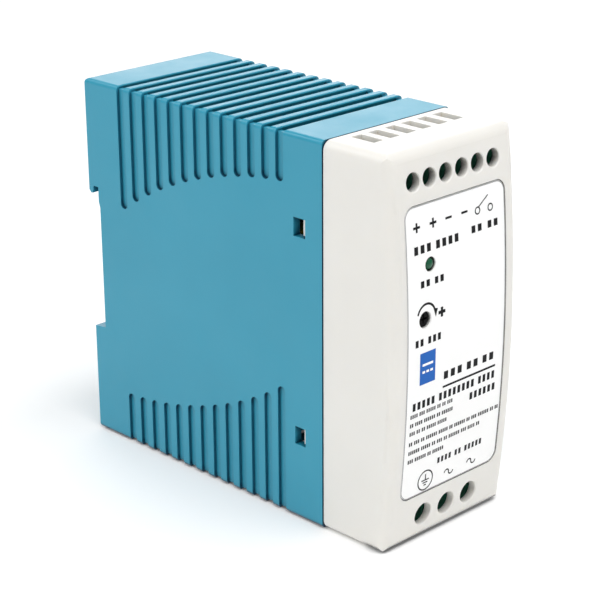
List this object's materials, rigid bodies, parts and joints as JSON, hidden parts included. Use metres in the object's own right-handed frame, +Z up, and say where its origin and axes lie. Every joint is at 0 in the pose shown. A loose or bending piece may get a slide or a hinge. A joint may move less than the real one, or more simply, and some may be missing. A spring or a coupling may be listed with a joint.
{
  "type": "din rail power supply",
  "caption": "Slim cabinet power supply in a vented two-part case that clips to a 35 mm rail, with screw terminals, a status light and a voltage trimmer.",
  "frame": {"origin": "on the rail seat plane at mid width and mid height of the case", "axes": "+X right as seen from the front, -Y towards the front, +Z up; the rail runs along X"},
  "size_m": [0.04, 0.1, 0.09],
  "materials": {
    "shell_blue": "satin moulded",
    "cover_white": "satin moulded",
    "label": "printed film",
    "latch_blue": "satin moulded",
    "spring_steel": "bright wire",
    "board": "solder mask",
    "black_plastic": "moulded",
    "insulation": "sheet",
    "terminal_green": "moulded",
    "copper": "tinned copper",
    "lens_green": "tinted clear",
    "spacer_plastic": "moulded",
    "tinned_wire": "tinned",
    "trimmer_blue": "moulded",
    "trimmer_rotor": "moulded",
    "ferrite": "sintered",
    "winding": "taped copper",
    "capacitor_can": "sleeved can",
    "film_capacitor": "moulded",
    "disc_blue": "dipped",
    "disc_green": "dipped",
    "heatsink": "plain",
    "screw_steel": "zinc plated",
    "cage_steel": "zinc plated",
    "white_plastic": "moulded"
  },
  "bodies": {
    "case": {"rear_shell": "shell_blue", "front_cover": "cover_white", "front_label": "label", "latch_spring": "spring_steel", "main_board": "board", "front_board": "board", "board_connector": "black_plastic", "insulation_sheet": "insulation", "output_terminal_block": "terminal_green", "input_terminal_block": "terminal_green", "output_tongues": "copper", "input_tongues": "copper", "status_light": "lens_green", "light_spacer": "spacer_plastic", "light_leads": "tinned_wire", "trimmer_body": "trimmer_blue", "transformer_core": "ferrite", "transformer_bobbin": "black_plastic", "transformer_winding": "winding", "bulk_capacitor": "capacitor_can", "output_capacitor_1": "capacitor_can", "output_capacitor_2": "capacitor_can", "choke_core": "ferrite", "choke_winding": "winding", "output_inductor": "black_plastic", "filter_capacitor": "film_capacitor", "safety_capacitor_1": "disc_blue", "safety_capacitor_2": "disc_blue", "fuse": "black_plastic", "inrush_thermistor": "disc_green", "varistor": "disc_blue", "bridge_rectifier": "black_plastic", "switching_transistor": "black_plastic", "primary_heatsink": "heatsink", "output_rectifier": "black_plastic", "secondary_heatsink": "heatsink", "device_screws": "screw_steel", "optocoupler": "white_plastic", "control_chip": "black_plastic", "signal_relay": "black_plastic"},
    "input_cage_1": {"input_cage_1": "cage_steel"},
    "input_cage_2": {"input_cage_2": "cage_steel"},
    "input_cage_3": {"input_cage_3": "cage_steel"},
    "input_screw_1": {"input_screw_1": "screw_steel"},
    "input_screw_2": {"input_screw_2": "screw_steel"},
    "input_screw_3": {"input_screw_3": "screw_steel"},
    "output_cage_1": {"output_cage_1": "cage_steel"},
    "output_cage_2": {"output_cage_2": "cage_steel"},
    "output_cage_3": {"output_cage_3": "cage_steel"},
    "output_cage_4": {"output_cage_4": "cage_steel"},
    "output_cage_5": {"output_cage_5": "cage_steel"},
    "output_cage_6": {"output_cage_6": "cage_steel"},
    "output_screw_1": {"output_screw_1": "screw_steel"},
    "output_screw_2": {"output_screw_2": "screw_steel"},
    "output_screw_3": {"output_screw_3": "screw_steel"},
    "output_screw_4": {"output_screw_4": "screw_steel"},
    "output_screw_5": {"output_screw_5": "screw_steel"},
    "output_screw_6": {"output_screw_6": "screw_steel"},
    "latch": {"rail_latch": "latch_blue"},
    "trimmer": {"trimmer_rotor": "trimmer_rotor"}
  },
  "joints": [
    {"name": "latch_slide", "type": "slide", "parent": "case", "child": "latch", "axis": [0, 0, -1], "range_m": [0, 0.004], "stiffness_N_per_m": 1500, "springref_m": -0.003, "deforming": ["latch_spring"]},
    {"name": "trimmer_turn", "type": "hinge", "parent": "case", "child": "trimmer", "pos_m": [-0.01035, -0.078, 0.00815], "axis": [0, 1, 0], "range_deg": [-135, 135]},
    {"name": "output_screw_1_turn", "type": "hinge", "parent": "case", "child": "output_screw_1", "pos_m": [-0.0127, -0.084, 0.0384], "axis": [0, 1, 0], "range_deg": [0, 1801]},
    {"name": "output_cage_1_lift", "type": "slide", "parent": "case", "child": "output_cage_1", "axis": [0, -1, 0], "range_m": [0, 0.0025]},
    {"name": "output_screw_2_turn", "type": "hinge", "parent": "case", "child": "output_screw_2", "pos_m": [-0.00762, -0.084, 0.0384], "axis": [0, 1, 0], "range_deg": [0, 1801]},
    {"name": "output_cage_2_lift", "type": "slide", "parent": "case", "child": "output_cage_2", "axis": [0, -1, 0], "range_m": [0, 0.0025]},
    {"name": "output_screw_3_turn", "type": "hinge", "parent": "case", "child": "output_screw_3", "pos_m": [-0.00254, -0.084, 0.0384], "axis": [0, 1, 0], "range_deg": [0, 1801]},
    {"name": "output_cage_3_lift", "type": "slide", "parent": "case", "child": "output_cage_3", "axis": [0, -1, 0], "range_m": [0, 0.0025]},
    {"name": "output_screw_4_turn", "type": "hinge", "parent": "case", "child": "output_screw_4", "pos_m": [0.00254, -0.084, 0.0384], "axis": [0, 1, 0], "range_deg": [0, 1801]},
    {"name": "output_cage_4_lift", "type": "slide", "parent": "case", "child": "output_cage_4", "axis": [0, -1, 0], "range_m": [0, 0.0025]},
    {"name": "output_screw_5_turn", "type": "hinge", "parent": "case", "child": "output_screw_5", "pos_m": [0.00762, -0.084, 0.0384], "axis": [0, 1, 0], "range_deg": [0, 1801]},
    {"name": "output_cage_5_lift", "type": "slide", "parent": "case", "child": "output_cage_5", "axis": [0, -1, 0], "range_m": [0, 0.0025]},
    {"name": "output_screw_6_turn", "type": "hinge", "parent": "case", "child": "output_screw_6", "pos_m": [0.0127, -0.084, 0.0384], "axis": [0, 1, 0], "range_deg": [0, 1801]},
    {"name": "output_cage_6_lift", "type": "slide", "parent": "case", "child": "output_cage_6", "axis": [0, -1, 0], "range_m": [0, 0.0025]},
    {"name": "input_screw_1_turn", "type": "hinge", "parent": "case", "child": "input_screw_1", "pos_m": [-0.00762, -0.084, -0.039], "axis": [0, 1, 0], "range_deg": [0, 1441]},
    {"name": "input_cage_1_lift", "type": "slide", "parent": "case", "child": "input_cage_1", "axis": [0, -1, 0], "range_m": [0, 0.0024]},
    {"name": "input_screw_2_turn", "type": "hinge", "parent": "case", "child": "input_screw_2", "pos_m": [0, -0.084, -0.039], "axis": [0, 1, 0], "range_deg": [0, 1441]},
    {"name": "input_cage_2_lift", "type": "slide", "parent": "case", "child": "input_cage_2", "axis": [0, -1, 0], "range_m": [0, 0.0024]},
    {"name": "input_screw_3_turn", "type": "hinge", "parent": "case", "child": "input_screw_3", "pos_m": [0.00762, -0.084, -0.039], "axis": [0, 1, 0], "range_deg": [0, 1441]},
    {"name": "input_cage_3_lift", "type": "slide", "parent": "case", "child": "input_cage_3", "axis": [0, -1, 0], "range_m": [0, 0.0024]}
  ],
  "couplings": [
    {"joint": "output_screw_1_turn", "follows": "output_cage_1_lift", "rad_per_m": 12566},
    {"joint": "output_screw_2_turn", "follows": "output_cage_2_lift", "rad_per_m": 12566},
    {"joint": "output_screw_3_turn", "follows": "output_cage_3_lift", "rad_per_m": 12566},
    {"joint": "output_screw_4_turn", "follows": "output_cage_4_lift", "rad_per_m": 12566},
    {"joint": "output_screw_5_turn", "follows": "output_cage_5_lift", "rad_per_m": 12566},
    {"joint": "output_screw_6_turn", "follows": "output_cage_6_lift", "rad_per_m": 12566},
    {"joint": "input_screw_1_turn", "follows": "input_cage_1_lift", "rad_per_m": 10472},
    {"joint": "input_screw_2_turn", "follows": "input_cage_2_lift", "rad_per_m": 10472},
    {"joint": "input_screw_3_turn", "follows": "input_cage_3_lift", "rad_per_m": 10472}
  ]
}
